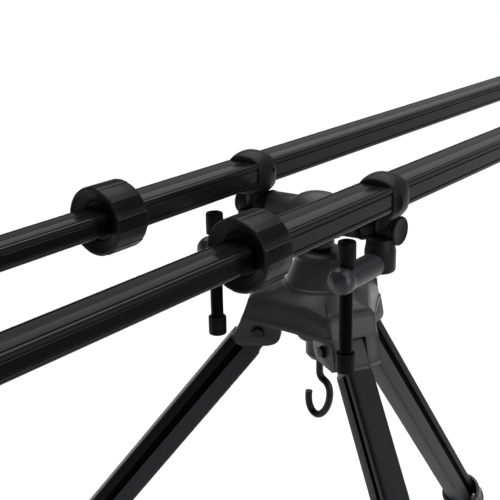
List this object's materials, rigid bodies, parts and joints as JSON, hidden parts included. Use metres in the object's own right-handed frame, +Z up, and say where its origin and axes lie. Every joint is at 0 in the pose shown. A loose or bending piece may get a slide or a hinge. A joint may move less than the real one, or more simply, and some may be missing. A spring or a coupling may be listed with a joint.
{
  "type": "rod tripod",
  "caption": "Free-standing tripod rod stand: twin telescopic rails on a tilting, turning head over a cast hub with folding, extending legs and a weight hook.",
  "frame": {"origin": "on the ground, straight below the vertical axis of the hub", "axes": "+X along the rails toward the rear end, +Y to the left across the rails, +Z up"},
  "size_m": [1.2252, 0.6678, 0.5597],
  "materials": {
    "anodised_aluminium": "satin black anodised",
    "painted_casting": "satin black powder coat",
    "moulded_nylon": "semi-matte black moulding",
    "rubber": "matte black",
    "blackened_steel": "black zinc plated"
  },
  "bodies": {
    "tripod_base": {"hub_casting": "painted_casting", "leg_pivot_bolt_rear": "blackened_steel", "leg_pivot_bolt_front_left": "blackened_steel", "leg_pivot_bolt_front_right": "blackened_steel"},
    "weight_hook": {"weight_hook": "blackened_steel"},
    "swivel_head": {"swivel_head": "painted_casting", "friction_washer_left": "rubber", "friction_washer_right": "rubber", "clamp_end_cap_left": "moulded_nylon", "clamp_end_cap_right": "moulded_nylon"},
    "rail_frame": {"rail_clamp_left": "moulded_nylon", "rail_clamp_right": "moulded_nylon", "outer_rail_left": "anodised_aluminium", "outer_rail_right": "anodised_aluminium", "mouth_collet_left": "moulded_nylon", "mouth_collet_right": "moulded_nylon", "rear_cross_bar": "anodised_aluminium", "rod_rest_stud_rear_left": "blackened_steel", "rod_rest_stud_rear_middle": "blackened_steel", "rod_rest_stud_rear_right": "blackened_steel"},
    "front_extension": {"inner_rail_left": "anodised_aluminium", "inner_rail_right": "anodised_aluminium", "front_cross_bar": "anodised_aluminium", "rod_rest_stud_front_left": "blackened_steel", "rod_rest_stud_front_middle": "blackened_steel", "rod_rest_stud_front_right": "blackened_steel"},
    "twist_collar_left": {"twist_collar_left": "moulded_nylon"},
    "clamp_screw_left": {"clamp_screw_left": "anodised_aluminium"},
    "tee_bar_left": {"tee_bar_left": "anodised_aluminium", "tee_bar_top_cap_left": "rubber", "tee_bar_bottom_cap_left": "rubber"},
    "twist_collar_right": {"twist_collar_right": "moulded_nylon"},
    "clamp_screw_right": {"clamp_screw_right": "anodised_aluminium"},
    "tee_bar_right": {"tee_bar_right": "anodised_aluminium", "tee_bar_top_cap_right": "rubber", "tee_bar_bottom_cap_right": "rubber"},
    "leg_rear": {"leg_knuckle_rear": "moulded_nylon", "leg_outer_tube_rear": "anodised_aluminium"},
    "leg_lock_rear": {"leg_lock_rear": "moulded_nylon"},
    "leg_lower_rear": {"leg_inner_tube_rear": "anodised_aluminium", "leg_foot_rear": "rubber"},
    "leg_front_left": {"leg_knuckle_front_left": "moulded_nylon", "leg_outer_tube_front_left": "anodised_aluminium"},
    "leg_lock_front_left": {"leg_lock_front_left": "moulded_nylon"},
    "leg_lower_front_left": {"leg_inner_tube_front_left": "anodised_aluminium", "leg_foot_front_left": "rubber"},
    "leg_front_right": {"leg_knuckle_front_right": "moulded_nylon", "leg_outer_tube_front_right": "anodised_aluminium"},
    "leg_lock_front_right": {"leg_lock_front_right": "moulded_nylon"},
    "leg_lower_front_right": {"leg_inner_tube_front_right": "anodised_aluminium", "leg_foot_front_right": "rubber"},
    "bar_thumb_screw_front_left": {"bar_thumb_screw_front_left": "moulded_nylon"},
    "bar_thumb_screw_front_right": {"bar_thumb_screw_front_right": "moulded_nylon"},
    "bar_thumb_screw_rear_left": {"bar_thumb_screw_rear_left": "moulded_nylon"},
    "bar_thumb_screw_rear_right": {"bar_thumb_screw_rear_right": "moulded_nylon"}
  },
  "joints": [
    {"name": "hook_turn", "type": "hinge", "parent": "tripod_base", "child": "weight_hook", "pos_m": [0, 0, 0.405], "axis": [0, 0, 1], "continuous": true},
    {"name": "head_swivel", "type": "hinge", "parent": "tripod_base", "child": "swivel_head", "pos_m": [0, 0, 0.47], "axis": [0, 0, 1], "continuous": true},
    {"name": "rail_tilt", "type": "hinge", "parent": "swivel_head", "child": "rail_frame", "pos_m": [0, 0, 0.5055], "axis": [0, 1, 0], "range_deg": [-4, 40]},
    {"name": "rail_extension", "type": "slide", "parent": "rail_frame", "child": "front_extension", "axis": [-1, 0, 0], "range_m": [-0.36, 0.2]},
    {"name": "collar_twist_left", "type": "hinge", "parent": "rail_frame", "child": "twist_collar_left", "pos_m": [-0.17, 0.0623, 0.535], "axis": [-1, 0, 0], "range_deg": [0, 90]},
    {"name": "clamp_screw_turn_left", "type": "hinge", "parent": "rail_frame", "child": "clamp_screw_left", "pos_m": [-0.057, 0.0623, 0.482], "axis": [1, 0, 0], "range_deg": [0, 150]},
    {"name": "tee_bar_slide_left", "type": "slide", "parent": "clamp_screw_left", "child": "tee_bar_left", "axis": [0, 0, 1], "range_m": [0, 0.012]},
    {"name": "collar_twist_right", "type": "hinge", "parent": "rail_frame", "child": "twist_collar_right", "pos_m": [-0.17, -0.0623, 0.535], "axis": [-1, 0, 0], "range_deg": [0, 90]},
    {"name": "clamp_screw_turn_right", "type": "hinge", "parent": "rail_frame", "child": "clamp_screw_right", "pos_m": [-0.057, -0.0623, 0.482], "axis": [-1, 0, 0], "range_deg": [0, 150]},
    {"name": "tee_bar_slide_right", "type": "slide", "parent": "clamp_screw_right", "child": "tee_bar_right", "axis": [0, 0, 1], "range_m": [0, 0.012]},
    {"name": "leg_fold_rear", "type": "hinge", "parent": "tripod_base", "child": "leg_rear", "pos_m": [0.049, 0, 0.41], "axis": [0, -1, 0], "range_deg": [-38, 0]},
    {"name": "leg_lock_turn_rear", "type": "hinge", "parent": "leg_rear", "child": "leg_lock_rear", "pos_m": [0.29342, 0, 0.09716], "axis": [0.6157, 0, -0.788], "range_deg": [0, 60]},
    {"name": "leg_slide_rear", "type": "slide", "parent": "leg_rear", "child": "leg_lower_rear", "axis": [0.6157, 0, -0.788], "range_m": [-0.07, 0.06]},
    {"name": "leg_fold_front_left", "type": "hinge", "parent": "tripod_base", "child": "leg_front_left", "pos_m": [-0.0245, 0.04244, 0.41], "axis": [0.866, 0.5, 0], "range_deg": [-38, 0]},
    {"name": "leg_lock_turn_front_left", "type": "hinge", "parent": "leg_front_left", "child": "leg_lock_front_left", "pos_m": [-0.14671, 0.25411, 0.09716], "axis": [-0.3078, 0.5332, -0.788], "range_deg": [0, 60]},
    {"name": "leg_slide_front_left", "type": "slide", "parent": "leg_front_left", "child": "leg_lower_front_left", "axis": [-0.3078, 0.5332, -0.788], "range_m": [-0.07, 0.06]},
    {"name": "leg_fold_front_right", "type": "hinge", "parent": "tripod_base", "child": "leg_front_right", "pos_m": [-0.0245, -0.04244, 0.41], "axis": [-0.866, 0.5, 0], "range_deg": [-38, 0]},
    {"name": "leg_lock_turn_front_right", "type": "hinge", "parent": "leg_front_right", "child": "leg_lock_front_right", "pos_m": [-0.14671, -0.25411, 0.09716], "axis": [-0.3078, -0.5332, -0.788], "range_deg": [0, 60]},
    {"name": "leg_slide_front_right", "type": "slide", "parent": "leg_front_right", "child": "leg_lower_front_right", "axis": [-0.3078, -0.5332, -0.788], "range_m": [-0.07, 0.06]},
    {"name": "thumb_screw_turn_front_left", "type": "hinge", "parent": "front_extension", "child": "bar_thumb_screw_front_left", "pos_m": [-0.581, 0.0623, 0.52], "axis": [0, 0, 1], "continuous": true},
    {"name": "thumb_screw_turn_front_right", "type": "hinge", "parent": "front_extension", "child": "bar_thumb_screw_front_right", "pos_m": [-0.581, -0.0623, 0.52], "axis": [0, 0, 1], "continuous": true},
    {"name": "thumb_screw_turn_rear_left", "type": "hinge", "parent": "rail_frame", "child": "bar_thumb_screw_rear_left", "pos_m": [0.581, 0.0623, 0.52], "axis": [0, 0, 1], "continuous": true},
    {"name": "thumb_screw_turn_rear_right", "type": "hinge", "parent": "rail_frame", "child": "bar_thumb_screw_rear_right", "pos_m": [0.581, -0.0623, 0.52], "axis": [0, 0, 1], "continuous": true}
  ]
}
